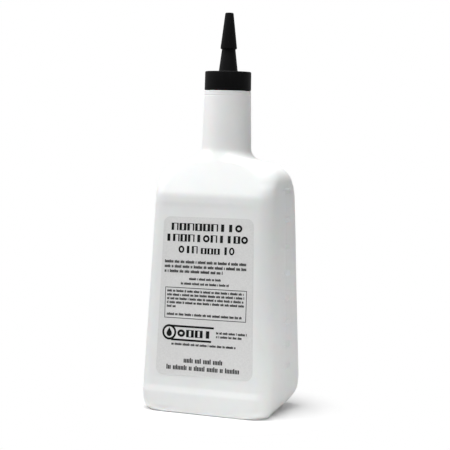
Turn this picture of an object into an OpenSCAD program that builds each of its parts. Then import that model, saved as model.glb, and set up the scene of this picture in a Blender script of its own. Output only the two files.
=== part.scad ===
// Oil bottle with a screw-on dispensing nozzle and a push-on tip cover.
// Millimetres. Z is up, the label faces -Y, and the base stands on Z = 0.

/* [Bottle body] */
// Width of the body at the floor
base_w = 101.2; // [97:0.2:105]
// Depth of the body at the floor
base_d = 75.6; // [71:0.2:79]
// Height of the crease where the body ends and the shoulder starts
crease_z = 155.5; // [148:0.5:162]
// Width of the body at the crease
crease_w = 92.2; // [88:0.1:94]
// Depth of the body at the crease
crease_d = 55.4; // [52:0.2:59]
// Radius of the body's upright corners
corner_r = 10.8; // [9:0.2:12]
// Wall thickness of the blown body
wall = 0.95; // [0.8:0.05:1.2]

/* [Foot] */
// Height of the rounding at the narrow sides
side_foot_h = 26; // [22:0.2:30]
// How far it cuts in at the floor, in the middle of a narrow side
side_foot_cut = 10.9; // [9:0.1:13]
// How much less it cuts in at the front corners, and more at the back ones
foot_skew = 8.6; // [5:0.5:10]
// Height of the rounding at the front
front_foot_h = 5.8; // [4:0.2:9]
// How far it cuts in at the front
front_foot_cut = 2; // [1.5:0.1:4]
// Height of the rounding at the back
back_foot_h = 16.6; // [12:0.2:20]
// How far it cuts in at the back
back_foot_cut = 12.6; // [9:0.2:15]
// Corner radius of the front corners at the floor
front_foot_r = 14.6; // [11:0.2:18]
// Corner radius of the back corners at the floor
back_foot_r = 32; // [18:0.5:36]
// Height over which the corners take up their plain radius
foot_reach = 10.9; // [7:0.1:13]
// Height of the pushed-up middle of the base
push_up = 2.5; // [1.5:0.1:3.5]

/* [Label panels] */
// How deep the front and back panels are sunk at their lower end
panel_low_depth = 1; // [0.6:0.1:1.4]
// How deep they are sunk at their upper end
panel_high_depth = 0.2; // [0.1:0.05:0.6]
// Height of the foot band under the panels
band_h = 13.4; // [12:0.2:15]
// Height of the slope from the foot band into a panel
band_slope = 6.2; // [5:0.2:8]
// Distance from the crease down to the panels
lip_h = 5; // [4:0.2:6.5]
// Height of the slope from that lip into a panel
lip_slope = 4.2; // [3:0.2:5.5]

/* [Shoulder] */
// Height from the crease to where the shoulder starts to round
shoulder_rise = 8.2; // [7:0.2:10]
// Radius of the shoulder's outer corner
shoulder_r = 14.3; // [12:0.2:16]
// Slope of the shoulder from that corner to the neck, in degrees
shoulder_slope = 16.2; // [12:0.2:20]
// Radius where the shoulder turns up into the neck
neck_fillet = 6.5; // [4:0.5:8]

/* [Neck] */
// Outside diameter of the neck at the shoulder
neck_low_d = 35.6; // [34.5:0.1:36.5]
// Outside diameter of the neck under the cap
neck_top_d = 33.44; // [32.64:0.1:33.84]
// Height of the ledge that the cap stops over
neck_top_z = 229.9; // [222:0.1:236]
// Depth of the two fine rings below the ledge
ring_depth = 0.2; // [0.1:0.05:0.3]
// Diameter over the threads of the neck finish
finish_d = 27.5; // [26:0.1:28.5]
// Height of the finish above the ledge
finish_h = 11.3; // [10:0.1:12.5]
// Bore of the finish
mouth_d = 21.8; // [20:0.1:23]

/* [Nozzle cap] */
// Outside diameter of the cap's skirt
cap_d = 33.5; // [32.8:0.1:34.5]
// Thickness of the cap's top
cap_top = 1.65; // [1.4:0.05:2.2]
// Rounding of the skirt's edges
cap_edge = 0.8; // [0.4:0.1:1.2]
// Outside diameter of the nozzle where it leaves the cap
nozzle_low_d = 13.7; // [12.8:0.1:14.6]
// Outside diameter of the nozzle at its open end
nozzle_tip_d = 4.1; // [3.8:0.1:4.6]
// Height of the nozzle above the cap
nozzle_h = 38.8; // [35:0.2:42]
// Wall thickness of the nozzle
nozzle_wall = 1.15; // [1:0.05:1.3]
// Radial clearance of the cap's bore round the finish
screw_clear = 0.07; // [0.04:0.01:0.1]
// Gap under the skirt, over the neck's ledge
skirt_gap = 0.3; // [0.2:0.05:0.5]

/* [Sealing ring] */
// Thickness of the sealing ring in the cap
seal_t = 0.8; // [0.6:0.05:1.2]
// Hole in the sealing ring
seal_hole_d = 18; // [15:0.5:20]
// Gap from each face of the ring to what it seals
seal_gap = 0.02; // [0.01:0.01:0.05]

/* [Tip cover] */
// Height of the cover's rim above the cap's top
tip_lift = 15.9; // [14:0.1:18]
// Wall of the cover at its rim
tip_wall = 1.05; // [0.9:0.05:1.3]
// Wall of the cover beside the nozzle's end
tip_top_wall = 0.85; // [0.75:0.05:1.2]
// Thickness of the cover's closed end
tip_end = 2.2; // [1.6:0.1:3]
// Gap over the nozzle's end inside the cover
tip_room = 1; // [0.6:0.1:1.6]
// Radial clearance of the cover on the nozzle
tip_clear = 0.05; // [0.03:0.01:0.08]

/* [Label] */
// Height of the label
label_h = 113; // [108:0.5:116]
// Width of the label at its top
label_top_w = 69.2; // [66:0.2:70]
// Width of the label at its bottom
label_low_w = 74.6; // [71:0.2:75]
// Height of the label's middle above the floor
label_z = 83.5; // [82:0.1:85]
// Corner radius of the label
label_r = 5; // [3:0.5:7]
// Thickness of the label film
label_t = 0.15; // [0.1:0.05:0.25]
// Turn of the label off upright, in degrees
label_turn = 0.7; // [0:0.1:1]
// Thickness of the ink
ink_t = 0.05; // [0.03:0.01:0.08]

/* [Label print] */
// Width of the printed block, over the ruled box
print_w = 62.8; // [58:0.2:64]
// Height of the heading letters
heading_h = 5.4; // [4.5:0.1:6]
// Height of the small lines
small_h = 1.9; // [1.4:0.1:2.2]
// Height of the finest lines
fine_h = 1.6; // [1.2:0.1:1.8]
// Height of the two bold lines at the foot
bold_h = 3; // [2.4:0.1:3.4]
// Thickness of the ruled box's line
rule_t = 0.35; // [0.25:0.05:0.5]
// Radius of the badge's ring
badge_r = 4.9; // [4:0.1:5.5]
// Thickness of that ring and of the two bars
badge_t = 1.2; // [0.8:0.1:1.6]

/* [Fill scale] */
// How far the marks stand out of the narrow side
mark_t = 0.35; // [0.2:0.05:0.5]
// Height of the highest mark above the crease
mark_top_rise = 3.5; // [-10:0.5:6]
// Equal volumes up to that mark, one mark for each
mark_last = 9; // [6:1:9]
// How many of those volumes lie below the lowest mark
mark_first = 2; // [1:1:3]
// Length of a mark
mark_l = 5.5; // [4:0.5:7]
// Height of a mark
mark_h = 0.8; // [0.6:0.1:1.2]
// Distance of the marks' middles from the middle of the narrow side
mark_y = 4.6; // [3:0.2:6]

/* [Hidden] */

white = [0.93, 0.94, 0.93];
paper = [0.82, 0.82, 0.82];
ink = [0.05, 0.05, 0.05];
black = [0.035, 0.035, 0.038];
foam = [0.86, 0.86, 0.83];

// Neck and shoulder outline in the width direction, from the corner arc to the neck.
neck_r = neck_low_d / 2;
arc_z = crease_z + shoulder_rise;
arc_x = half_w(arc_z) - shoulder_r;
line_x = arc_x + shoulder_r * sin(shoulder_slope);
line_z = arc_z + shoulder_r * cos(shoulder_slope);
turn_x = neck_r + neck_fillet * (1 - sin(shoulder_slope));
turn_z = line_z + (line_x - turn_x) * tan(shoulder_slope) + neck_fillet * cos(shoulder_slope);
panel_low = band_h + band_slope;
panel_high = crease_z - lip_h - lip_slope;
tilt = atan(((base_d - crease_d) / 2 * (panel_high - panel_low) / crease_z
             + panel_high_depth - panel_low_depth) / (panel_high - panel_low));
side_tilt = atan((base_w - crease_w) / 2 / crease_z);

finish_top = neck_top_z + finish_h;
seal_low = finish_top + seal_gap;
cap_ceiling = seal_low + seal_t + seal_gap;
cap_top_z = cap_ceiling + cap_top;
skirt_z = neck_top_z + skirt_gap;
cap_bore_r = finish_d / 2 + screw_clear;
tip_rim_z = cap_top_z + tip_lift;
nozzle_end_z = cap_top_z + nozzle_h;

function lerp(a, b, t) = a + (b - a) * t;
function half_w(z) = lerp(base_w, crease_w, z / crease_z) / 2;
function half_d(z) = z <= crease_z
    ? lerp(base_d, crease_d, z / crease_z) / 2
    : lerp(crease_d / 2, neck_r, min(1, (z - crease_z) / (turn_z - crease_z)));
function round_at(z) = z <= crease_z
    ? corner_r
    : lerp(corner_r, neck_r - 0.5, min(1, (z - crease_z) / (turn_z - crease_z)));
function nozzle_r(z) = lerp(nozzle_low_d, nozzle_tip_d, (z - cap_top_z) / nozzle_h) / 2;

function panel_sink(z) = z <= band_h || z >= crease_z - lip_h ? 0
    : z < panel_low ? panel_low_depth * (z - band_h) / band_slope
    : z > panel_high ? panel_high_depth * (crease_z - lip_h - z) / lip_slope
    : lerp(panel_low_depth, panel_high_depth, (z - panel_low) / (panel_high - panel_low));

// How far a foot's rounding cuts in, so high above the floor: a quarter of an ellipse.
function foot_cut(rise, h, cut) = cut * (1 - sqrt(1 - pow(max(0, 1 - rise / h), 2)));

// One station is [half width, half depth, corner radius, height, back cut, back rounding, skew].
foot_steps = [0, 5, 10, 16, 23, 31, 40, 49];
arc_steps = [0, 18, 36, 54, 90 - shoulder_slope];
turn_steps = [shoulder_slope, 38, 62, 90];

function wall_station(z, t) = let (
        rise = max(0, z - t),
        spread = pow(max(0, 1 - rise / foot_reach), 1.5),
        front_cut = foot_cut(rise, front_foot_h, front_foot_cut))
    [half_w(z) - t - foot_cut(rise, side_foot_h, side_foot_cut),
     half_d(z) - t - front_cut - panel_sink(z),
     corner_r - t + (front_foot_r - corner_r) * spread,
     z,
     foot_cut(rise, back_foot_h, back_foot_cut) - front_cut,
     (back_foot_r - front_foot_r) * spread,
     foot_cut(rise, side_foot_h, foot_skew)];
function base_station(inset, z, t) = let (s = wall_station(t, t))
    [s[0] - inset, s[1] - 1.2 * inset, s[2] - inset, z + t, s[4], s[5], s[6]];
function top_station(x, z, t) = let (b = min(half_d(z) - 1.05 * t, x + 0.02))
    [x, b, min(round_at(z) - t, min(x, b) - 0.3), z, 0, 0, 0];

function skin(t) = concat(
    [base_station(9, push_up, t), base_station(5, 0, t)],
    [for (a = foot_steps) wall_station(t + side_foot_h * (1 - cos(a)), t)],
    [for (z = [band_h, panel_low, lerp(panel_low, side_foot_h, 0.5), side_foot_h, panel_high,
               crease_z - lip_h, crease_z]) wall_station(z, t)],
    [for (a = arc_steps) top_station(arc_x + (shoulder_r - t) * cos(a), arc_z + (shoulder_r - t) * sin(a), t)],
    [for (a = turn_steps) top_station(
        neck_r + neck_fillet - (neck_fillet + t) * sin(a), turn_z - (neck_fillet + t) * cos(a), t)],
    [[neck_r - 0.18 - t, neck_r - 0.18 - t, neck_r - 0.48 - t, turn_z + 3, 0, 0, 0]]
);

// Points of one ring, anticlockwise from the right-hand side's middle.
side_out = [0.25, 0.5, 0.75];
side_in = [0.75, 0.5, 0.25];
arc_pts = 6;
face_steps = [0.9, 0.45, -0.45, -0.9];

// One side of a station: [half width, half depth, corner radius, height, skew].
function front_of(s) = [s[0], s[1], s[2], s[3], -s[6]];
function back_of(s) = let (d = s[1] - s[4])
    [s[0], d, min(s[2] + s[5], d - 0.3, s[0] - 0.3), s[3], s[6]];
function skewed(h, x, y) = [x - sign(x) * h[4] * pow(x / h[0], 2) * abs(y) / h[1], y, h[3]];

function quarter(h, q) = let (
        cx = (q == 0 || q == 3 ? 1 : -1) * (h[0] - h[2]),
        cy = (q < 2 ? 1 : -1) * (h[1] - h[2]))
    [for (i = [0:arc_pts]) let (a = 90 * (q + i / arc_pts)) skewed(h, cx + h[2] * cos(a), cy + h[2] * sin(a))];
function broad(h, side) = [for (u = face_steps) skewed(h, side * u * (h[0] - h[2]), side * h[1])];
function narrow(h, side, end, shares) = [for (u = shares) skewed(h, side * h[0], end * u * (h[1] - h[2]))];
function middle(s, side) = [[side * s[0], 0, s[3]]];
function ring(s) = let (front = front_of(s), back = back_of(s)) concat(
    middle(s, 1),
    narrow(back, 1, 1, side_out),
    quarter(back, 0),
    broad(back, 1),
    quarter(back, 1),
    narrow(back, -1, 1, side_in),
    middle(s, -1),
    narrow(front, -1, -1, side_out),
    quarter(front, 2),
    broad(front, -1),
    quarter(front, 3),
    narrow(front, 1, -1, side_in)
);

module blown_body() {
    outside = [for (s = skin(0)) ring(s)];
    inside = [for (s = skin(wall)) ring(s)];
    rings = concat(outside, [for (i = [len(inside) - 1:-1:0]) inside[i]]);
    n = len(rings[0]);
    m = len(rings);
    points = concat([for (r = rings) for (p = r) p], [[0, 0, push_up], [0, 0, push_up + wall]]);
    sides = [for (k = [0:m - 2]) for (i = [0:n - 1]) for (f = [0, 1])
        f == 0 ? [k * n + i, (k + 1) * n + i, (k + 1) * n + (i + 1) % n]
               : [k * n + i, (k + 1) * n + (i + 1) % n, k * n + (i + 1) % n]];
    low = [for (i = [0:n - 1]) [i, (i + 1) % n, n * m]];
    high = [for (i = [0:n - 1]) [(m - 1) * n + (i + 1) % n, (m - 1) * n + i, n * m + 1]];
    polyhedron(points, concat(low, sides, high));
}

module neck() {
    r0 = neck_r;
    r1 = neck_top_d / 2;
    t = wall + 0.25;
    z0 = turn_z + 0.5;
    zw = lerp(turn_z, neck_top_z, 0.16);
    rw = lerp(r0, r1, 0.16);
    rotate_extrude($fn = 96)
        polygon([
            [r0, z0],
            [rw, zw],
            [r1 + 0.08, neck_top_z - 3.6],
            [r1 - ring_depth, neck_top_z - 3.3],
            [r1, neck_top_z - 3],
            [r1, neck_top_z - 1.8],
            [r1 - ring_depth, neck_top_z - 1.5],
            [r1, neck_top_z - 1.2],
            [r1, neck_top_z - 0.5],
            [r1 - 0.5, neck_top_z],
            [finish_d / 2, neck_top_z],
            [finish_d / 2, finish_top - 0.6],
            [finish_d / 2 - 0.6, finish_top],
            [mouth_d / 2, finish_top],
            [mouth_d / 2, neck_top_z - 0.2],
            [r1 - t, neck_top_z - 4.5],
            [rw - t, zw],
            [r0 - t, z0]
        ]);
}

// The marks divide the body's inside, up to the highest of them, into equal volumes.
function inside_area(z) = let (s = wall_station(z, wall), front = front_of(s), back = back_of(s))
    2 * s[0] * (front[1] + back[1]) - (2 - PI / 2) * (pow(front[2], 2) + pow(back[2], 2));
mark_low = push_up + wall;
volume_steps = 30;
volume_step = (crease_z + mark_top_rise - mark_low) / volume_steps;
mark_volume = volume_step / mark_last
    * ([for (i = [1:volume_steps]) inside_area(mark_low + volume_step * (i - 0.5))]
       * [for (i = [1:volume_steps]) 1]);
function fill_height(count) = count == 0 ? mark_low
    : let (z = fill_height(count - 1)) z + mark_volume / inside_area(z + mark_volume / 2 / inside_area(z));

module fill_marks() {
    for (i = [mark_first:mark_last]) {
        z = fill_height(i);
        translate([half_w(z), -mark_y, z])
            rotate([0, -side_tilt, 0])
                translate([-wall / 2, -mark_l / 2, -mark_h / 2])
                    cube([wall / 2 + mark_t, mark_l, mark_h]);
    }
}

module bottle() {
    color(white)
        union() {
            blown_body();
            neck();
            fill_marks();
        }
}

// Stands a flat shape up on the front panel, a given distance off its surface.
module on_panel(off) {
    translate([0, panel_sink(label_z) - half_d(label_z), label_z])
        rotate([90 - tilt, 0, 0])
            translate([0, 0, off])
                rotate([0, 0, label_turn])
                    children();
}

module label_outline() {
    top_x = label_top_w / 2 - label_r;
    low_x = label_low_w / 2 - label_r;
    y = label_h / 2 - label_r;
    corners = [[top_x, y, 0], [-top_x, y, 90], [-low_x, -y, 180], [low_x, -y, 270]];
    polygon([for (c = corners) for (a = [0:15:90])
        [c[0] + label_r * cos(c[2] + a), c[1] + label_r * sin(c[2] + a)]]);
}

module label() {
    color(paper)
        on_panel(0.01)
            linear_extrude(label_t)
                label_outline();
}

// The print is laid out in shares: across, of half the printed width, and up, of half the
// label's height, both from the label's middle.
function across(u) = u * print_w / 2;
function up(v) = v * label_h / 2;

// A line of word blocks from u0 to u1, centred on v, as tall as h.
module words(v, u0, u1, h, n) {
    space = 0.75 * h;
    weights = [for (i = [0:n - 1]) 3 + (i * 5 + 2) % 7];
    total = weights * [for (i = [0:n - 1]) 1];
    run = across(u1 - u0) - space * (n - 1);
    starts = [for (i = 0, s = 0; i < n; s = s + weights[i], i = i + 1) s];
    for (i = [0:n - 1])
        translate([across(u0) + run * starts[i] / total + space * i, up(v) - h / 2])
            square([run * weights[i] / total, h]);
}

// A bold word as a row of letter-sized blocks of three widths.
module letters(v, u0, u1, h, n) {
    pitch = across(u1 - u0) / n;
    for (i = [0:n - 1])
        translate([across(u0) + pitch * i, up(v) - h / 2])
            square([pitch * (0.7 + 0.07 * ((i * 2 + n) % 3)), h]);
}

module ruled_box(v0, v1) {
    w = print_w;
    h = up(v1 - v0);
    translate([-w / 2, up(v0)])
        difference() {
            square([w, h]);
            translate([rule_t, rule_t])
                square([w - 2 * rule_t, h - 2 * rule_t]);
        }
}

// A round badge with a drop in it, joined to two bars.
module badge(u, v) {
    hole = badge_r - badge_t;
    translate([across(u), up(v)]) {
        difference() {
            circle(badge_r, $fn = 48);
            circle(hole, $fn = 48);
        }
        translate([0, -0.25 * hole]) {
            circle(0.5 * hole, $fn = 32);
            polygon([[-0.45 * hole, 0.2 * hole], [0.45 * hole, 0.2 * hole], [0, 1.05 * hole]]);
        }
        translate([0, badge_r - badge_t])
            square([across(1.08), badge_t]);
        translate([0, -badge_r])
            square([across(1.02), badge_t]);
    }
}

module print_flat() {
    // Three heading lines.
    letters(0.873, -0.88, 0.85, heading_h, 9);
    letters(0.727, -0.98, 0.98, heading_h, 11);
    letters(0.584, -0.69, -0.2, heading_h, 3);
    letters(0.584, -0.12, 0.32, heading_h, 3);
    letters(0.584, 0.39, 0.7, heading_h, 2);
    // A paragraph of three lines and two short centred lines.
    words(0.435, -1.02, 1, small_h, 9);
    words(0.375, -1.02, 1, small_h, 8);
    words(0.315, -1.02, 0.41, small_h, 6);
    words(0.223, -0.41, 0.37, fine_h, 4);
    words(0.161, -0.61, 0.57, fine_h, 6);
    // A ruled box with five lines and one more under them.
    ruled_box(-0.281, 0.108);
    words(0.064, -0.95, 0.95, fine_h, 9);
    words(0.014, -0.95, 0.95, fine_h, 8);
    words(-0.035, -0.95, 0.95, fine_h, 9);
    words(-0.085, -0.95, 0.95, fine_h, 8);
    words(-0.135, -0.95, -0.64, fine_h, 1);
    words(-0.23, -0.94, 0.91, fine_h, 7);
    badge(-0.853, -0.462);
    letters(-0.464, -0.65, 0.18, 0.85 * heading_h, 4);
    words(-0.439, 0.29, 1.03, fine_h, 1);
    words(-0.488, 0.29, 0.98, fine_h, 1);
    words(-0.605, -0.81, 0.79, fine_h, 6);
    // Two bolder lines at the foot.
    words(-0.809, -0.49, 0.48, bold_h, 2);
    words(-0.903, -0.91, 0.94, bold_h, 5);
}

module label_print() {
    color(ink)
        on_panel(0.01 + label_t)
            linear_extrude(ink_t)
                print_flat();
}

module seal_ring() {
    color(foam)
        translate([0, 0, seal_low])
            rotate_extrude($fn = 96)
                translate([seal_hole_d / 2, 0])
                    square([cap_bore_r - 0.2 - seal_hole_d / 2, seal_t]);
}

module nozzle_cap() {
    r = cap_d / 2;
    e = cap_edge;
    n0 = nozzle_low_d / 2;
    n1 = nozzle_tip_d / 2;
    color(black)
        rotate_extrude($fn = 96)
            polygon([
                [cap_bore_r + 0.3, skirt_z],
                [r - e * 0.6, skirt_z],
                [r, skirt_z + e],
                [r - 0.15, cap_top_z - e],
                [r - 0.15 - e, cap_top_z],
                [n0 + 0.7, cap_top_z],
                [nozzle_r(cap_top_z + 0.7), cap_top_z + 0.7],
                [nozzle_r(nozzle_end_z - 0.3), nozzle_end_z - 0.3],
                [n1 - 0.25, nozzle_end_z],
                [n1 - nozzle_wall + 0.1, nozzle_end_z],
                [n0 - nozzle_wall, cap_top_z],
                [n0 - nozzle_wall, cap_ceiling],
                [cap_bore_r, cap_ceiling],
                [cap_bore_r, skirt_z + 0.4]
            ]);
}

module tip_cover() {
    low = nozzle_r(tip_rim_z) + tip_clear;
    high = nozzle_r(nozzle_end_z) + tip_clear;
    top_z = nozzle_end_z + tip_room + tip_end;
    r0 = low + tip_wall;
    r1 = high + tip_top_wall;
    color(black)
        rotate_extrude($fn = 72)
            polygon([
                [low + 0.15, tip_rim_z],
                [r0 - 0.35, tip_rim_z],
                [r0, tip_rim_z + 0.7],
                [r1, top_z - 0.6],
                [r1 - 0.5, top_z],
                [0, top_z],
                [0, nozzle_end_z + tip_room],
                [high, nozzle_end_z + tip_room],
                [high, nozzle_end_z],
                [nozzle_r(tip_rim_z + 1) + tip_clear, tip_rim_z + 1]
            ]);
}

bottle();
label();
label_print();
seal_ring();
nozzle_cap();
tip_cover();
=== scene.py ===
import math
from collections import namedtuple

import bmesh
import bpy
from mathutils import Matrix, Quaternion, Vector


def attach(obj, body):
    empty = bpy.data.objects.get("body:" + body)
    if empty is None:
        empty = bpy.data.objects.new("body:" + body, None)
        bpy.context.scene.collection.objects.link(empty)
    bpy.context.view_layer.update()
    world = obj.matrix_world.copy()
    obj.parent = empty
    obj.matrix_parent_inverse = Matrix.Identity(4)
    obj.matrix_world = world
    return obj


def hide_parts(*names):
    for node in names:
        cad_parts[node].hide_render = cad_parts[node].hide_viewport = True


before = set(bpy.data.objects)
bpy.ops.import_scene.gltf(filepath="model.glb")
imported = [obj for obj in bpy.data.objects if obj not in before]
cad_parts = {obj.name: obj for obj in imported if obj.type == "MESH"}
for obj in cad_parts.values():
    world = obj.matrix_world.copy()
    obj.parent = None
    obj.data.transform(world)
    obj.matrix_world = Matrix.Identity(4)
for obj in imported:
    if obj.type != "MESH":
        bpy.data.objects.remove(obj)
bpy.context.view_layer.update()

# ---------------------------------------------------------------------------------------
# The view: a long lens a metre away, 23 degrees round from the label towards the scale
# side and a little above the shoulder. The photographer held the camera slightly turned.

VIEW_TURN = math.radians(23)
VIEW_DISTANCE = 1.048
EYE_HEIGHT = 0.20766
AIM_HEIGHT = 0.13306
VIEW_ROLL = 0.0212

view_back = Vector((math.sin(VIEW_TURN), -math.cos(VIEW_TURN), 0))
eye = view_back * VIEW_DISTANCE + Vector((0, 0, EYE_HEIGHT))
aim = Vector((0, 0, AIM_HEIGHT))

camera = bpy.data.objects.new("camera", bpy.data.cameras.new("camera"))
camera.data.sensor_width = 36
camera.data.lens = 115.98
camera.location = eye
camera.rotation_mode = "QUATERNION"
camera.rotation_quaternion = (aim - eye).to_track_quat("-Z", "Y") @ Quaternion((0, 0, 1), VIEW_ROLL)
bpy.context.scene.collection.objects.link(camera)
bpy.context.scene.camera = camera

# ---------------------------------------------------------------------------------------
# Bottle: blown in one piece from white polyethylene, with a foot band, sunk label panels,
# a chisel-shaped shoulder and a round neck. The screw finish at its mouth is moulded with
# it, and so are the parting line and the fill scale on the narrow side.

MM = 0.001
BASE_W, BASE_D = 101.2, 75.6
CREASE_Z, CREASE_W, CREASE_D = 155.5, 92.2, 55.4
CREASE_SOFT = 2.4
CORNER_R = 10.8
WALL = 0.95
SIDE_FOOT, FRONT_FOOT, BACK_FOOT = (26.0, 10.9), (5.8, 2.0), (16.6, 12.6)
FRONT_FOOT_R, BACK_FOOT_R, FOOT_R_REACH, FOOT_SKEW = 14.6, 32.0, 10.9, 8.6
PUSH_UP = 2.5
BULGE, BULGE_Z, BULGE_REACH = 0.22, 133.0, 32.0
PANEL_LOW_DEPTH, PANEL_HIGH_DEPTH = 1.0, 0.2
PANEL_LOW, PANEL_HIGH = (13.4, 19.6), (146.3, 150.5)
SHOULDER_R, SHOULDER_SLOPE = 14.3, math.radians(16.2)
ARC_Z = CREASE_Z + 8.2
ROUND_FROM = 34.0
NECK_R, NECK_TOP_R, NECK_TOP_Z = 17.8, 16.72, 229.9
NECK_FILLET, NECK_SOFT, NECK_WALL, NECK_INSIDE_Z = 6.5, 3.0, 1.2, (205, 194)
RING_DEPTH = 0.2
FINISH_H, FINISH_ROOT_R, THREAD_R, MOUTH_R = 11.3, 12.65, 13.7, 10.9
PARTING_H = 0.07

# Steps round a quarter of the outline: along the narrow side, the corner, the broad side.
NARROW_STEPS = [0, 0.012, 0.2, 0.4, 0.6, 0.8]
CORNER_STEPS = 16
BROAD_STEPS = 8
QUARTER = len(NARROW_STEPS) + CORNER_STEPS + BROAD_STEPS

Level = namedtuple("Level", "wide deep corner z parting round back_cut back_round skew",
                   defaults=(0, 0, 0, 0, 0))


def half_wide(z):
    """Half the width at a height, with the slight swell below the crease."""
    bulge = BULGE * math.cos(min(1, abs(z - BULGE_Z) / BULGE_REACH) * math.pi / 2) ** 2
    return (BASE_W + (CREASE_W - BASE_W) * z / CREASE_Z) / 2 + bulge


ARC_X = half_wide(ARC_Z) - SHOULDER_R
SLOPE_X = ARC_X + SHOULDER_R * math.sin(SHOULDER_SLOPE)
SLOPE_Z = ARC_Z + SHOULDER_R * math.cos(SHOULDER_SLOPE)
TURN_X = NECK_R + NECK_FILLET * (1 - math.sin(SHOULDER_SLOPE))
TURN_Z = (SLOPE_Z + (SLOPE_X - TURN_X) * math.tan(SHOULDER_SLOPE)
          + NECK_FILLET * math.cos(SHOULDER_SLOPE))
FINISH_TOP = NECK_TOP_Z + FINISH_H


def ramp(z, start, end, ease=0.3):
    """Rises from 0 to 1 between two heights, straight in the middle and eased at its ends."""
    u = min(1, max(0, (z - start) / (end - start)))
    if u < ease:
        return u * u / (2 * ease * (1 - ease))
    if u > 1 - ease:
        return 1 - (1 - u) ** 2 / (2 * ease * (1 - ease))
    return (u - ease / 2) / (1 - ease)


def rounding(z, at, slope_change, reach):
    """What a rounded bend adds to a line that bends sharply at one height."""
    return slope_change * max(0, reach - abs(z - at)) ** 2 / (4 * reach)


def half_deep(z):
    """Half the depth at a height: the body, the slanting facets above it, and the neck."""
    body_slope = (CREASE_D - BASE_D) / 2 / CREASE_Z
    facet_slope = (NECK_R - CREASE_D / 2) / (TURN_Z - CREASE_Z)
    neck_slope = -0.02
    if z < CREASE_Z:
        flat = BASE_D / 2 + body_slope * z
    elif z < TURN_Z:
        flat = CREASE_D / 2 + facet_slope * (z - CREASE_Z)
    else:
        flat = NECK_R + neck_slope * (z - TURN_Z)
    return (flat + rounding(z, CREASE_Z, facet_slope - body_slope, CREASE_SOFT)
            + rounding(z, TURN_Z, neck_slope - facet_slope, NECK_SOFT))


def shoulder_corner(z):
    return CORNER_R + (NECK_R - CORNER_R) * min(1, max(0, (z - CREASE_Z) / (TURN_Z - CREASE_Z)))


def foot_cut(rise, height, cut):
    """How far a foot's rounding cuts in, so high above the floor: a quarter of an ellipse."""
    return cut * (1 - math.sqrt(1 - max(0, 1 - rise / height) ** 2))


def panel_sink(z):
    """How deep the front and back are sunk at a height: more at the foot than at the crease."""
    share = min(1, max(0, (z - PANEL_LOW[1]) / (PANEL_HIGH[0] - PANEL_LOW[1])))
    depth = PANEL_LOW_DEPTH + (PANEL_HIGH_DEPTH - PANEL_LOW_DEPTH) * share
    return depth * (ramp(z, *PANEL_LOW) - ramp(z, *PANEL_HIGH))


def wall_level(z, skin):
    """A level of the body, below the crease: skin is 0 outside and the wall's thickness inside."""
    rise = max(0, z - skin)
    spread = max(0, 1 - rise / FOOT_R_REACH) ** 1.5
    front_cut = foot_cut(rise, *FRONT_FOOT)
    return Level(half_wide(z) - skin - foot_cut(rise, *SIDE_FOOT),
                 half_deep(z) - skin - front_cut - panel_sink(z),
                 CORNER_R - skin + (FRONT_FOOT_R - CORNER_R) * spread, z, PARTING_H * (skin == 0),
                 back_cut=foot_cut(rise, *BACK_FOOT) - front_cut,
                 back_round=(BACK_FOOT_R - FRONT_FOOT_R) * spread,
                 skew=foot_cut(rise, SIDE_FOOT[0], FOOT_SKEW))


def shoulder_level(wide, z, skin):
    """A level above the crease, turning from the body's outline to the neck's round one."""
    deep = min(half_deep(z) - 1.05 * skin, max(wide, NECK_R) + 0.3)
    corner = min(shoulder_corner(z) - skin, wide, deep)
    roundness = ramp(-wide, -ROUND_FROM, -NECK_R, 0.5)
    return Level(wide, deep, corner, z, PARTING_H * (skin == 0), roundness)


def neck_level(radius, z, parting=0):
    return Level(radius, radius, radius, z, parting, 1)


def neck_radius(z):
    share = (z - TURN_Z) / (NECK_TOP_Z - TURN_Z)
    return NECK_TOP_R + (NECK_R - NECK_TOP_R) * (1 - share)


def skin_levels(skin):
    """The levels of one skin of the wall, from the middle of the base up into the neck."""
    rim = wall_level(skin, skin)
    levels = [Level(1, 1, 0.8, PUSH_UP + skin)]
    for inset, rise in ((9, PUSH_UP), (6, 0.8 * PUSH_UP), (4, 0.1), (2, 0)):
        levels.append(rim._replace(wide=rim.wide - inset, deep=rim.deep - 1.2 * inset,
                                   corner=rim.corner - inset, z=rise + skin, parting=0))
    levels += [wall_level(skin + SIDE_FOOT[0] * (1 - math.cos(math.radians(a))), skin)
               for a in (0, 2, 4, 6, 8, 10, 12, 15, 18, 22, 26, 31, 37, 44, 49)]
    heights = [11.4, 12.6] + [PANEL_LOW[0] + 0.62 * i for i in range(11)]
    heights += [20.4, 22, 24, 26, 28.5] + [32 + 8 * i for i in range(14)] + [142, 144.6, 145.6]
    heights += [PANEL_HIGH[0] + 0.525 * i for i in range(9)]
    heights += [151.4, 152.3, 153.1] + [153.8 + 0.6 * i for i in range(7)] + [158.4, 160, 162]
    levels += [wall_level(z, skin) for z in heights]
    for step in range(10):
        angle = step / 9 * (math.pi / 2 - SHOULDER_SLOPE)
        levels.append(shoulder_level(ARC_X + (SHOULDER_R - skin) * math.cos(angle),
                                     ARC_Z + (SHOULDER_R - skin) * math.sin(angle), skin))
    last = levels[-1]
    bends = []
    for step in range(8):
        angle = SHOULDER_SLOPE + step / 7 * (math.pi / 2 - SHOULDER_SLOPE)
        bends.append(shoulder_level(NECK_R + NECK_FILLET - (NECK_FILLET + skin) * math.sin(angle),
                                    TURN_Z - (NECK_FILLET + skin) * math.cos(angle), skin))
    for share in (0.25, 0.5, 0.75):
        levels.append(shoulder_level(last.wide + share * (bends[0].wide - last.wide),
                                     last.z + share * (bends[0].z - last.z), skin))
    return levels + bends


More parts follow.
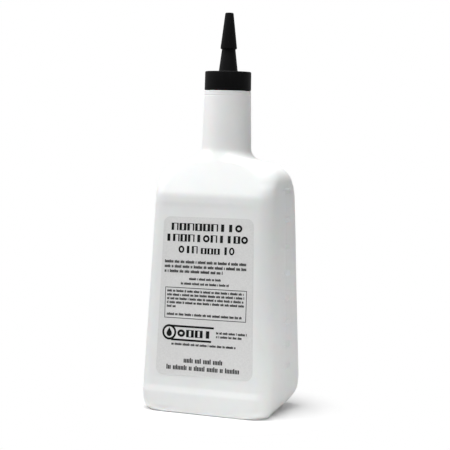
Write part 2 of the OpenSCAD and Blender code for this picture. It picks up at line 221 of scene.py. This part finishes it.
def bottle_levels():
    """Every level of the bottle: up the outside, over the lip of the mouth and down inside."""
    outside = skin_levels(0)
    for rise in (1, 2, 3):
        radius = neck_radius(TURN_Z + rise)
        deep = max(radius, half_deep(TURN_Z + rise))
        outside.append(neck_level(radius, TURN_Z + rise, PARTING_H)._replace(deep=deep))
    for step in range(1, 10):
        z = TURN_Z + 3 + (NECK_TOP_Z - 4.2 - TURN_Z - 3) * step / 9
        outside.append(neck_level(neck_radius(z), z, PARTING_H))
    for drop, cut in ((3.7, 0), (3.3, 1), (2.9, 0), (1.9, 0), (1.5, 1), (1.1, 0), (0.4, 0)):
        z = NECK_TOP_Z - drop
        outside.append(neck_level(neck_radius(z) - RING_DEPTH * cut, z, PARTING_H * (1 - cut)))
    finish = [
        (NECK_TOP_R - 0.15, NECK_TOP_Z - 0.1), (NECK_TOP_R - 0.5, NECK_TOP_Z),
        (FINISH_ROOT_R + 0.4, NECK_TOP_Z), (FINISH_ROOT_R, NECK_TOP_Z + 0.4),
        (FINISH_ROOT_R, NECK_TOP_Z + 4), (FINISH_ROOT_R, FINISH_TOP - 1.2),
        (FINISH_ROOT_R - 0.15, FINISH_TOP - 0.3), (FINISH_ROOT_R - 0.5, FINISH_TOP),
        (MOUTH_R + 0.3, FINISH_TOP), (MOUTH_R, FINISH_TOP - 0.3),
        (MOUTH_R, NECK_TOP_Z + 4), (MOUTH_R, NECK_TOP_Z - 0.2),
        (NECK_TOP_R - NECK_WALL, NECK_TOP_Z - 4.5),
    ]
    finish += [(neck_radius(z) - NECK_WALL, z) for z in NECK_INSIDE_Z]
    inside = list(reversed(skin_levels(WALL)))
    return outside + [neck_level(radius, z) for radius, z in finish] + inside


def outline_point(step, level):
    """Where one step round the outline lies at a level. Steps run from +Y over -X and -Y."""
    quarter, along = divmod(step, QUARTER)
    along = along if quarter % 2 else QUARTER - along
    side_x = -1 if quarter < 2 else 1
    side_y = -1 if quarter in (1, 2) else 1
    narrow_end = len(NARROW_STEPS)
    corner_end = narrow_end + CORNER_STEPS
    if along < narrow_end:
        flat_x, flat_y, turn = 1, NARROW_STEPS[along], 0
    elif along <= corner_end:
        flat_x, flat_y, turn = 1, 1, (along - narrow_end) / CORNER_STEPS
    else:
        flat_x, flat_y, turn = 1 - (along - corner_end) / BROAD_STEPS, 1, 1
    even_turn = 0.008 if along == 1 else along / QUARTER
    turn = (turn + (even_turn - turn) * level.round) * math.pi / 2
    deep, corner = level.deep, level.corner
    if side_y > 0:
        deep -= level.back_cut
        corner = min(corner + level.back_round, deep, level.wide)
    x = flat_x * (level.wide - corner) + corner * math.cos(turn)
    y = flat_y * (deep - corner) + corner * math.sin(turn)
    x -= level.skew * (x / level.wide) ** 2 * side_y * y / deep
    if along == 0:
        x += level.parting
    return Vector((side_x * x, side_y * y, level.z))


def of_kind(geometry, kind):
    return [part for part in geometry if isinstance(part, kind)]


def stack_levels(mesh, levels):
    """Draws one outline after the other up from the first, and closes both ends."""
    steps = mesh.verts.layers.int.new("step")
    loop = bmesh.ops.create_circle(mesh, segments=4 * QUARTER, radius=1)["verts"]
    for step, vert in enumerate(loop):
        vert[steps] = step
        vert.co = outline_point(step, levels[0])
    middles = [(loop, levels[0])]
    rim = list(mesh.edges)
    for level in levels[1:]:
        grown = bmesh.ops.extrude_edge_only(mesh, edges=rim)["geom"]
        loop = of_kind(grown, bmesh.types.BMVert)
        rim = [edge for edge in of_kind(grown, bmesh.types.BMEdge) if edge.is_boundary]
        for vert in loop:
            vert.co = outline_point(vert[steps], level)
    middles.append((loop, levels[-1]))
    for loop, level in middles:
        bmesh.ops.pointmerge(mesh, verts=loop, merge_co=Vector((0, 0, level.z)))


LEAD = 25.4 / 6
THREAD_STEPS = 72
FADE_STEPS = 14
THREAD_START_Z = NECK_TOP_Z + 1.9


def add_thread(mesh, root, crest, start_z, turns, half_root, half_crest):
    """Winds a screw thread's ridge round the axis, right-handed, fading out at both ends."""
    ridge = bmesh.new()
    corners = [(root, -half_root), (crest, -half_crest), (crest, half_crest), (root, half_root)]
    loop = [ridge.verts.new((radius, 0, start_z + z)) for radius, z in corners]
    edges = [ridge.edges.new((loop[i], loop[(i + 1) % 4])) for i in range(4)]
    steps = int(turns * THREAD_STEPS)
    bmesh.ops.spin(ridge, geom=loop + edges, cent=(0, 0, 0), axis=(0, 0, 1),
                   dvec=(0, 0, LEAD / THREAD_STEPS), angle=turns * math.tau, steps=steps,
                   use_merge=False)
    for index, vert in enumerate(ridge.verts):
        turn = index // 4
        fade = min(1, turn / FADE_STEPS, (steps - turn) / FADE_STEPS)
        radius = vert.co.xy.length
        vert.co.xy *= (root + (radius - root) * fade) / radius
    bmesh.ops.holes_fill(ridge, edges=[edge for edge in ridge.edges if edge.is_boundary], sides=0)
    bmesh.ops.recalc_face_normals(ridge, faces=ridge.faces)
    wound = bpy.data.meshes.new("thread")
    ridge.to_mesh(wound)
    ridge.free()
    mesh.from_mesh(wound)
    bpy.data.meshes.remove(wound)


def inside_area(z):
    level = wall_level(z, WALL)
    back_deep = level.deep - level.back_cut
    back_corner = min(level.corner + level.back_round, back_deep)
    return (2 * level.wide * (level.deep + back_deep)
            - (2 - math.pi / 2) * (level.corner ** 2 + back_corner ** 2))


TENTH_LITRE = 100000


def fill_height(tenths):
    """The height to which so many tenths of a litre fill the body."""
    z = PUSH_UP + WALL
    for _ in range(tenths):
        half_way = z + TENTH_LITRE / 2 / inside_area(z)
        z += TENTH_LITRE / inside_area(half_way)
    return z


SIDE_TILT = math.atan((BASE_W - CREASE_W) / 2 / CREASE_Z)
MARK_T, MARK_W, MARK_L, MARK_Y = 0.35, 0.8, 5.5, -4.6
NUMERAL_H, NUMERAL_Y = 6.4, -0.6
PINCH_LINE = (58, 0.5, 0.5)


def on_scale_side(y, z):
    """Stands a flat drawing up on the narrow side, its face to +X."""
    facing = Matrix(((0, 0, 1, 0), (1, 0, 0, 0), (0, 1, 0, 0), (0, 0, 0, 1)))
    return (Matrix.Translation((half_wide(z), y, z)) @ Matrix.Rotation(-SIDE_TILT, 4, "Y") @ facing)


def add_numeral(mesh, digits, place, size, height):
    """Adds raised figures, drawn flat and stood at their place."""
    drawing = bpy.data.curves.new("numeral", "FONT")
    drawing.body = digits
    drawing.size = size
    drawing.extrude = height / 2
    drawing.bevel_depth = 0.06
    drawing.align_y = "CENTER"
    drawn = bpy.data.objects.new("numeral", drawing)
    figures = bpy.data.meshes.new_from_object(drawn)
    figures.transform(place)
    mesh.from_mesh(figures)
    bpy.data.objects.remove(drawn)
    bpy.data.meshes.remove(figures)


def add_bar(mesh, size, place, edge):
    """Adds a small bar with softened edges."""
    matrix = place @ Matrix.Diagonal((*size, 1))
    bar = bmesh.ops.create_cube(mesh, size=1, matrix=matrix)["verts"]
    bmesh.ops.bevel(mesh, geom=list({e for v in bar for e in v.link_edges}), offset=edge,
                    segments=2, profile=0.5, affect="EDGES", material=-1)


def new_piece(name, mesh, material, body, slot, *nodes, sharp=35):
    """Makes the piece from its mesh in millimetres, and hangs it on its body."""
    bmesh.ops.scale(mesh, vec=(MM, MM, MM), verts=mesh.verts)
    data = bpy.data.meshes.new(name)
    mesh.to_mesh(data)
    mesh.free()
    data.polygons.foreach_set("use_smooth", [True] * len(data.polygons))
    data.set_sharp_from_angle(angle=math.radians(sharp))
    data.materials.append(material)
    piece = bpy.data.objects.new(name, data)
    bpy.context.scene.collection.objects.link(piece)
    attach(piece, body)
    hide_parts(*nodes)


def surface(name, light, dark, patch, rough, grain, depth, **constants):
    """A procedural surface: two tones in soft patches, uneven gloss, and a fine raised grain.

    patch and grain are sizes in metres, rough is the lowest and highest roughness, and depth
    is the height of the grain."""
    material = bpy.data.materials.new(name)
    material.use_nodes = True
    nodes, links = material.node_tree.nodes, material.node_tree.links
    shader = nodes["Principled BSDF"]
    for socket, value in constants.items():
        shader.inputs[socket.replace("_", " ")].default_value = value
    place = nodes.new("ShaderNodeTexCoord").outputs["Object"]

    patches = nodes.new("ShaderNodeTexNoise")
    patches.inputs["Scale"].default_value = 1 / patch
    patches.inputs["Detail"].default_value = 4
    links.new(place, patches.inputs["Vector"])
    tones = nodes.new("ShaderNodeValToRGB")
    tones.color_ramp.elements[0].position, tones.color_ramp.elements[1].position = 0.35, 0.65
    tones.color_ramp.elements[0].color = (*dark, 1)
    tones.color_ramp.elements[1].color = (*light, 1)
    links.new(patches.outputs["Fac"], tones.inputs["Fac"])
    links.new(tones.outputs["Color"], shader.inputs["Base Color"])

    gloss = nodes.new("ShaderNodeMapRange")
    gloss.inputs["To Min"].default_value, gloss.inputs["To Max"].default_value = rough
    links.new(patches.outputs["Fac"], gloss.inputs["Value"])
    links.new(gloss.outputs["Result"], shader.inputs["Roughness"])

    specks = nodes.new("ShaderNodeTexNoise")
    specks.inputs["Scale"].default_value = 1 / grain
    specks.inputs["Detail"].default_value = 3
    links.new(place, specks.inputs["Vector"])
    bump = nodes.new("ShaderNodeBump")
    bump.inputs["Strength"].default_value = 1
    bump.inputs["Distance"].default_value = depth
    links.new(specks.outputs["Fac"], bump.inputs["Height"])
    links.new(bump.outputs["Normal"], shader.inputs["Normal"])
    return material


polyethylene = surface("white_polyethylene", light=(0.905, 0.905, 0.9), dark=(0.885, 0.885, 0.88),
                       patch=0.03, rough=(0.36, 0.46), grain=0.0012, depth=0.00002,
                       Subsurface_Weight=0.12, Subsurface_Scale=0.002, IOR=1.5,
                       Specular_IOR_Level=0.3)

bottle_mesh = bmesh.new()
stack_levels(bottle_mesh, bottle_levels())
bmesh.ops.recalc_face_normals(bottle_mesh, faces=bottle_mesh.faces)
add_thread(bottle_mesh, FINISH_ROOT_R - 0.2, THREAD_R, THREAD_START_Z, 1.75, 1.0, 0.45)
for tenths in range(2, 10):
    mark_z = fill_height(tenths)
    add_bar(bottle_mesh, (MARK_L, MARK_W, 2 * MARK_T), on_scale_side(MARK_Y, mark_z), 0.2)
    add_numeral(bottle_mesh, str(100 * tenths), on_scale_side(NUMERAL_Y, mark_z), NUMERAL_H,
                2 * MARK_T)
add_bar(bottle_mesh, PINCH_LINE, Matrix.Translation((0, 0, PUSH_UP - 0.1)), 0.15)
new_piece("bottle_shell", bottle_mesh, polyethylene, "bottle_body", "bottle_white", "bottle")

# ---------------------------------------------------------------------------------------
# Label: a grey film label with rounded corners, a little wider at the bottom like the
# panel it is stuck on. Its node from the CAD is right and gets its finish here.

film = surface("label_film", light=(0.8, 0.8, 0.795), dark=(0.745, 0.745, 0.74),
               patch=0.0011, rough=(0.45, 0.6), grain=0.0005, depth=0.00003, IOR=1.46)
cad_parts["label"].data.materials.clear()
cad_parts["label"].data.materials.append(film)

# ---------------------------------------------------------------------------------------
# Label print: black ink on the film. Every word is a run of plain posts, frames and rings,
# and the badge is a ring with a drop in it, joined to two bars.

LABEL_Z = 83.5
LABEL_TURN = math.radians(0.7)
LABEL_OFF = 0.2
BADGE_X, BADGE_Y = -27.6, -26.1
TILT_LOW, TILT_HIGH = 30, 140
PANEL_TILT = math.atan((half_deep(TILT_LOW) - panel_sink(TILT_LOW)
                        - half_deep(TILT_HIGH) + panel_sink(TILT_HIGH)) / (TILT_HIGH - TILT_LOW))

on_label = (Matrix.Translation((0, panel_sink(LABEL_Z) - half_deep(LABEL_Z), LABEL_Z))
            @ Matrix.Rotation(math.pi / 2 - PANEL_TILT, 4, "X")
            @ Matrix.Translation((0, 0, LABEL_OFF))
            @ Matrix.Rotation(LABEL_TURN, 4, "Z"))


def ink_bar(mesh, x0, x1, y0, y1):
    """One printed rectangle, lying flat."""
    place = (Matrix.Translation(((x0 + x1) / 2, (y0 + y1) / 2, 0))
             @ Matrix.Diagonal((x1 - x0, y1 - y0, 1, 1)))
    bmesh.ops.create_grid(mesh, x_segments=1, y_segments=1, size=0.5, matrix=place)


def ink_ring(mesh, x, y, radius, hole, stretch=1.0):
    """A printed ring, or a solid spot where the hole is nothing, stretched upwards."""
    place = Matrix.Translation((x, y, 0)) @ Matrix.Diagonal((1, stretch, 1, 1))
    disc = bmesh.ops.create_circle(mesh, cap_ends=True, segments=32, radius=radius, matrix=place)
    if hole:
        face = [f for f in mesh.faces if f.verts[0] in disc["verts"]]
        bmesh.ops.inset_individual(mesh, faces=face, thickness=radius - hole)
        bmesh.ops.delete(mesh, geom=face, context="FACES_ONLY")


def ink_line(mesh, y, x0, x1, size, seed, weight=0.84):
    """A line of small words from x0 to x1: close upright bars, some of them taller."""
    x, bar, pitch = x0, seed, 0.36 * size
    while x < x1 - pitch:
        top = 0.54 if (bar * 7) % 5 == 0 else 0.32
        ink_bar(mesh, x, x + weight * pitch, y - size / 2, y + size * top)
        x += pitch
        bar += 1
        if (bar * 5 + seed) % 9 == 0 or (bar * 3 + seed) % 14 == 0:
            x += 1.2 * pitch


def ink_heading(mesh, y, x0, x1, size, shapes):
    """A bold word of plain shapes: upright frames, half frames, single posts and rings."""
    pitch = (x1 - x0 + 0.1 * size) / len(shapes)
    thick, thin, rail = 0.32 * pitch, 0.18 * pitch, 0.09 * size
    low, high = y - size / 2, y + size / 2
    for place, shape in enumerate(shapes):
        x = x0 + pitch * place
        end = x + 0.88 * pitch
        middle = (x + end) / 2
        if shape == "ring":
            ink_ring(mesh, middle, y, 0.44 * pitch, 0.19 * pitch, 0.5 * size / (0.44 * pitch))
        elif shape == "post":
            ink_bar(mesh, middle - 0.6 * thick, middle + 0.6 * thick, low, high)
        else:
            right = thick if shape == "frame" else thin
            ink_bar(mesh, x, x + thick, low, high)
            ink_bar(mesh, end - right, end, low, high)
            ink_bar(mesh, x + thick, end - right, high - rail, high)
            if shape == "frame":
                ink_bar(mesh, x + thick, end - right, low, low + rail)


ink_mesh = bmesh.new()
ink_heading(ink_mesh, 49.4, -28.4, 26.4, 5.2,
            ("half", "frame", "half", "frame", "frame", "half", "post", "post", "ring"))
ink_heading(ink_mesh, 41.5, -32.9, 30.9, 5.2,
            ("post", "half", "frame", "half", "post", "ring", "half", "post", "post", "frame", "ring"))
ink_heading(ink_mesh, 33.3, -22.4, -7.4, 5.2, ("ring", "post", "half"))
ink_heading(ink_mesh, 32.7, -5.0, 9.8, 4.2, ("frame", "frame", "frame"))
ink_heading(ink_mesh, 33.3, 12.0, 20.8, 5.4, ("post", "ring"))
for row, (y, x0, x1) in enumerate(((24.5, -32.8, 31.2), (21.1, -32.8, 31.2), (17.7, -32.8, 12.5))):
    ink_line(ink_mesh, y, x0, x1, 2.1, row)
ink_line(ink_mesh, 12.6, -13.4, 11.4, 1.7, 3)
ink_line(ink_mesh, 9.1, -19.7, 17.6, 1.7, 5)
for row in range(5):
    ink_line(ink_mesh, 3.6 - 2.75 * row, -30.2, 29.4 if row < 4 else -22, 1.75, 6 + row)
ink_line(ink_mesh, -13.0, -30.0, 28.3, 1.8, 12)
for x0, x1, y0, y1 in ((-31.8, 31.2, 5.7, 6.15), (-31.8, 31.2, -15.95, -15.5),
                       (-31.8, -31.35, -15.9, 6.1), (30.75, 31.2, -15.9, 6.1)):
    ink_bar(ink_mesh, x0, x1, y0, y1)
ink_ring(ink_mesh, BADGE_X, BADGE_Y, 5.5, 4.0)
ink_ring(ink_mesh, BADGE_X, BADGE_Y - 0.9, 2.1, 0)
bmesh.ops.create_circle(ink_mesh, cap_ends=True, segments=3, radius=2.4,
                        matrix=Matrix.Translation((BADGE_X, BADGE_Y + 1, 0)))
ink_bar(ink_mesh, -26.0, 7.0, -22.2, -20.8)
ink_bar(ink_mesh, -26.0, 5.2, -31.9, -30.5)
ink_heading(ink_mesh, -26.4, -21.2, 5.6, 5.2, ("ring", "frame", "frame", "post"))
ink_line(ink_mesh, -24.7, 8.8, 32.4, 1.7, 20)
ink_line(ink_mesh, -27.4, 8.8, 28.5, 1.7, 23)
ink_line(ink_mesh, -34.2, -25.6, 24.6, 1.7, 26)
ink_line(ink_mesh, -45.5, -15.6, 15.0, 3.4, 31, 0.74)
ink_line(ink_mesh, -50.8, -29.0, 29.6, 3.4, 35, 0.74)
bmesh.ops.transform(ink_mesh, matrix=on_label, verts=ink_mesh.verts)

ink = surface("black_ink", light=(0.012, 0.012, 0.012), dark=(0.006, 0.006, 0.006),
              patch=0.004, rough=(0.4, 0.55), grain=0.0008, depth=0.00001, Specular_IOR_Level=0.1)
new_piece("label_ink", ink_mesh, ink, "bottle_body", "label_ink", "label_print")

# ---------------------------------------------------------------------------------------
# Sealing ring: die-cut foam sheet pushed up under the cap's top, where it seals on the lip
# of the mouth. Its node from the CAD is right and gets its finish here.

foam = surface("white_foam", light=(0.84, 0.84, 0.81), dark=(0.76, 0.76, 0.73),
               patch=0.0015, rough=(0.7, 0.85), grain=0.0005, depth=0.0001)
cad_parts["seal_ring"].data.materials.clear()
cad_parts["seal_ring"].data.materials.append(foam)

# ---------------------------------------------------------------------------------------
# Nozzle cap: a smooth skirt and a hollow tapered nozzle, moulded in one piece from black
# polypropylene and screwed on the finish by the thread inside the skirt.

CAP_R, CAP_BORE_R, SKIRT_Z = 16.75, 13.82, 230.2
CEILING_Z = 242.04
CAP_TOP_Z = 243.69
NOZZLE_LOW_R, NOZZLE_TIP_R, NOZZLE_H, NOZZLE_WALL = 6.85, 2.05, 38.8, 1.15
NOZZLE_END_Z = CAP_TOP_Z + NOZZLE_H
CAP_CREST_R = 12.9


SPIN_STEPS = 96


def spun(profile):
    """Turns a closed outline of (radius, height, rounding) corners round the axis."""
    mesh = bmesh.new()
    corners = [mesh.verts.new((radius, 0, z)) for radius, z, _ in profile]
    for index, corner in enumerate(corners):
        mesh.edges.new((corner, corners[(index + 1) % len(corners)]))
    for corner, (_, _, edge) in zip(corners, profile):
        if edge:
            bmesh.ops.bevel(mesh, geom=[corner], offset=edge, segments=4, profile=0.5,
                            affect="VERTICES", material=-1)
    bmesh.ops.spin(mesh, geom=list(mesh.verts) + list(mesh.edges), cent=(0, 0, 0), axis=(0, 0, 1),
                   angle=math.tau, steps=SPIN_STEPS, use_merge=True)
    bmesh.ops.remove_doubles(mesh, verts=mesh.verts, dist=0.0005)
    bmesh.ops.recalc_face_normals(mesh, faces=mesh.faces)
    return mesh


cap_mesh = spun([
    (CAP_BORE_R, SKIRT_Z, 0.35), (CAP_R, SKIRT_Z, 0.5), (CAP_R - 0.15, CAP_TOP_Z, 0.8),
    (NOZZLE_LOW_R, CAP_TOP_Z, 0.8), (NOZZLE_TIP_R, NOZZLE_END_Z, 0.3),
    (NOZZLE_TIP_R - NOZZLE_WALL, NOZZLE_END_Z, 0.1), (NOZZLE_LOW_R - NOZZLE_WALL, CAP_TOP_Z, 0),
    (NOZZLE_LOW_R - NOZZLE_WALL, CEILING_Z, 0.2), (CAP_BORE_R, CEILING_Z, 0.2),
])
add_thread(cap_mesh, CAP_BORE_R + 0.2, CAP_CREST_R, THREAD_START_Z + LEAD / 2, 1.4, 0.9, 0.4)
black_plastic = surface("black_polypropylene", light=(0.0045, 0.0045, 0.0048),
                        dark=(0.003, 0.003, 0.0032), patch=0.012, rough=(0.5, 0.6),
                        grain=0.0006, depth=0.00001, Specular_IOR_Level=0.04)
new_piece("nozzle_cap_shell", cap_mesh, black_plastic, "cap_body", "cap_black", "nozzle_cap")

# ---------------------------------------------------------------------------------------
# Tip cover: a tapered thimble moulded from softer black polyethylene, pushed down over the
# nozzle's end to close it.

TIP_RIM_Z = CAP_TOP_Z + 15.9
TIP_CLEAR, TIP_WALL, TIP_TOP_WALL = 0.05, 1.05, 0.85
TIP_ROOM, TIP_END = 1.0, 2.2
TIP_TOP_Z = NOZZLE_END_Z + TIP_ROOM + TIP_END


def nozzle_r(z):
    return NOZZLE_LOW_R + (NOZZLE_TIP_R - NOZZLE_LOW_R) * (z - CAP_TOP_Z) / NOZZLE_H


tip_low = nozzle_r(TIP_RIM_Z) + TIP_CLEAR
tip_high = nozzle_r(NOZZLE_END_Z) + TIP_CLEAR
cover_mesh = spun([
    (tip_low + 0.1, TIP_RIM_Z, 0), (tip_low + 0.35, TIP_RIM_Z, 0.15),
    (tip_low + TIP_WALL, TIP_RIM_Z + 0.7, 0.2), (tip_high + TIP_TOP_WALL, TIP_TOP_Z, 0.7),
    (0, TIP_TOP_Z, 0), (0, NOZZLE_END_Z + TIP_ROOM, 0),
    (tip_high, NOZZLE_END_Z + TIP_ROOM, 0.2), (tip_high, NOZZLE_END_Z, 0),
    (nozzle_r(TIP_RIM_Z + 1) + TIP_CLEAR, TIP_RIM_Z + 1, 0),
])
soft_black = surface("black_polyethylene", light=(0.0045, 0.0045, 0.0048), dark=(0.003, 0.003, 0.0032),
                     patch=0.008, rough=(0.52, 0.62), grain=0.0005, depth=0.00001,
                     Specular_IOR_Level=0.04)
new_piece("tip_cover_shell", cover_mesh, soft_black, "tip_body", "tip_black", "tip_cover")

# ---------------------------------------------------------------------------------------
# Floor and light: a white sweep under a soft lamp overhead, with weaker ones at both sides
# and in front, and two narrow ones that whiten the floor. The floor keeps the bottle's
# shadow near it and fades to plain white beyond.

FLOOR_SIZE = 6.0
SHADOW_REACH = (0.03, 0.1)
FLOOR_TONE = 0.9

floor_mesh = bmesh.new()
bmesh.ops.create_grid(floor_mesh, x_segments=1, y_segments=1, size=FLOOR_SIZE / 2)
floor_data = bpy.data.meshes.new("floor")
floor_mesh.to_mesh(floor_data)
floor_mesh.free()
floor = bpy.data.objects.new("floor", floor_data)
bpy.context.scene.collection.objects.link(floor)


def seen_background(nodes, links):
    """1 for rays from the camera, off gloss or through glass, and 0 for lighting rays."""
    path = nodes.new("ShaderNodeLightPath")
    total = path.outputs["Is Camera Ray"]
    for ray in ("Is Glossy Ray", "Is Transmission Ray"):
        either = nodes.new("ShaderNodeMath")
        either.operation = "MAXIMUM"
        links.new(total, either.inputs[0])
        links.new(path.outputs[ray], either.inputs[1])
        total = either.outputs[0]
    return total


sweep = bpy.data.materials.new("white_sweep")
sweep.use_nodes = True
nodes, links = sweep.node_tree.nodes, sweep.node_tree.links
nodes.clear()
output = nodes.new("ShaderNodeOutputMaterial")
lit = nodes.new("ShaderNodeBsdfDiffuse")
lit.inputs["Color"].default_value = (FLOOR_TONE, FLOOR_TONE, FLOOR_TONE, 1)
plain = nodes.new("ShaderNodeEmission")
plain.inputs["Color"].default_value = (1, 1, 1, 1)
place = nodes.new("ShaderNodeTexCoord")
reach = nodes.new("ShaderNodeVectorMath")
reach.operation = "LENGTH"
links.new(place.outputs["Object"], reach.inputs[0])
fade = nodes.new("ShaderNodeMapRange")
fade.interpolation_type = "SMOOTHSTEP"
fade.inputs["From Min"].default_value, fade.inputs["From Max"].default_value = SHADOW_REACH
links.new(reach.outputs["Value"], fade.inputs["Value"])
faded = nodes.new("ShaderNodeMath")
faded.operation = "MULTIPLY"
links.new(fade.outputs["Result"], faded.inputs[0])
links.new(seen_background(nodes, links), faded.inputs[1])
mixed = nodes.new("ShaderNodeMixShader")
links.new(faded.outputs[0], mixed.inputs["Fac"])
links.new(lit.outputs[0], mixed.inputs[1])
links.new(plain.outputs[0], mixed.inputs[2])
links.new(mixed.outputs[0], output.inputs["Surface"])
floor_data.materials.append(sweep)

world = bpy.data.worlds.new("studio")
bpy.context.scene.world = world
world.use_nodes = True
nodes, links = world.node_tree.nodes, world.node_tree.links
nodes.clear()
output = nodes.new("ShaderNodeOutputWorld")
dim = nodes.new("ShaderNodeBackground")
dim.inputs["Color"].default_value = (0.01, 0.01, 0.01, 1)
white = nodes.new("ShaderNodeBackground")
white.inputs["Color"].default_value = (1, 1, 1, 1)
mixed = nodes.new("ShaderNodeMixShader")
links.new(seen_background(nodes, links), mixed.inputs["Fac"])
links.new(dim.outputs[0], mixed.inputs[1])
links.new(white.outputs[0], mixed.inputs[2])
links.new(mixed.outputs[0], output.inputs["Surface"])


def add_lamp(name, location, target, size, watts, spread=180):
    lamp = bpy.data.lights.new(name, "AREA")
    lamp.size = size
    lamp.spread = math.radians(spread)
    lamp.energy = watts
    holder = bpy.data.objects.new(name, lamp)
    holder.location = location
    holder.rotation_euler = (Vector(target) - Vector(location)).to_track_quat("-Z", "Y").to_euler()
    bpy.context.scene.collection.objects.link(holder)


add_lamp("overhead_softbox", (-0.05, -0.1, 0.75), (0, 0, 0.12), 0.3, 5.8)
add_lamp("left_fill", (-0.35, -0.1, 0.45), (0, 0, 0.12), 0.25, 0.74)
add_lamp("right_fill", (1.2, -0.2, 0.5), (0, 0, 0.12), 0.8, 0.92)
add_lamp("front_fill", (0.5, -1.0, 0.5), (0, 0, 0.12), 0.6, 1.0)
add_lamp("front_floor_lamp", (-0.05, -0.35, 0.8), (-0.05, -0.25, 0), 0.15, 0.035, 26)
add_lamp("right_floor_lamp", (0.3, -0.1, 0.8), (0.22, -0.06, 0), 0.15, 0.22, 24)

bpy.context.scene.view_settings.view_transform = "Standard"
